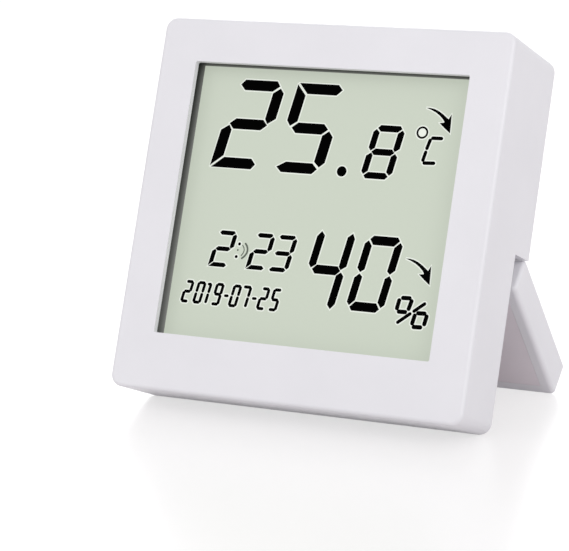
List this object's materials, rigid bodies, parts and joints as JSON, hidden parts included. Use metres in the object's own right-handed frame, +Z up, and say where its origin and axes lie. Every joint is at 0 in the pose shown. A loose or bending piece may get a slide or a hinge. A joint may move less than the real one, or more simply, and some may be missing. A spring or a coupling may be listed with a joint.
{
  "type": "bathroom thermometer",
  "caption": "Square thermometer with a recessed liquid crystal display, leaning back on a thick folding stand, with a battery bay and keys in the back.",
  "frame": {"origin": "on the floor, under the middle of the standing thermometer's bounding box", "axes": "-Y is the side that the display faces, +Y the side of the stand, +X the display's right-hand side as a reader sees it, +Z up"},
  "size_m": [0.08, 0.0594, 0.0806],
  "materials": {
    "white_shell": "fine satin moulded ABS",
    "display_film": "smooth grey-green film",
    "display_glass": "clear",
    "reflector": "silvered film",
    "dark_rubber": "matt",
    "inner_frame": "moulded ABS",
    "circuit_board": "green solder mask",
    "chip_resin": "glossy epoxy",
    "plated_metal": "tin plated",
    "capacitor_sleeve": "shrunk sleeve",
    "sensor_body": "moulded",
    "white_key": "fine satin moulded ABS",
    "switch_plunger": "moulded",
    "switch_body": "moulded",
    "cell_jacket": "printed jacket over a steel can",
    "spring_steel": "nickel plated",
    "screw_steel": "zinc plated"
  },
  "bodies": {
    "housing": {"front_housing": "white_shell", "back_cover": "white_shell", "front_polariser": "display_film", "front_glass": "display_glass", "rear_glass": "display_glass", "reflector_film": "reflector", "zebra_strip": "dark_rubber", "display_gasket": "dark_rubber", "display_carrier": "inner_frame", "main_board": "circuit_board", "radio_board": "circuit_board", "display_chip": "chip_resin", "clock_crystal": "plated_metal", "radio_shield": "plated_metal", "filter_capacitor": "capacitor_sleeve", "climate_sensor": "sensor_body", "key_switches": "switch_body", "upper_cell": "cell_jacket", "lower_cell": "cell_jacket", "bridge_contact": "spring_steel", "negative_contact": "spring_steel", "positive_contact": "spring_steel", "case_screws": "screw_steel", "board_screws": "screw_steel"},
    "door": {"battery_door": "white_shell"},
    "stand": {"stand_shell": "white_shell", "stand_cover": "white_shell", "hinge_pins": "screw_steel"},
    "set_button": {"set_key": "white_key", "set_plunger": "switch_plunger"},
    "down_button": {"down_key": "white_key", "down_plunger": "switch_plunger"},
    "up_button": {"up_key": "white_key", "up_plunger": "switch_plunger"}
  },
  "joints": [
    {"name": "stand_hinge", "type": "hinge", "parent": "housing", "child": "stand", "pos_m": [0, 0.00519, 0.03145], "axis": [1, 0, 0], "range_deg": [-61.56, 0]},
    {"name": "set_press", "type": "slide", "parent": "housing", "child": "set_button", "axis": [0, -0.9385, 0.3453], "range_m": [0, 0.0004], "stiffness_N_per_m": 500},
    {"name": "down_press", "type": "slide", "parent": "housing", "child": "down_button", "axis": [0, -0.9385, 0.3453], "range_m": [0, 0.0004], "stiffness_N_per_m": 500},
    {"name": "up_press", "type": "slide", "parent": "housing", "child": "up_button", "axis": [0, -0.9385, 0.3453], "range_m": [0, 0.0004], "stiffness_N_per_m": 500},
    {"name": "door_lift", "type": "slide", "parent": "housing", "child": "door", "axis": [0, 0.9385, -0.3453], "range_m": [0, 0.03]}
  ]
}
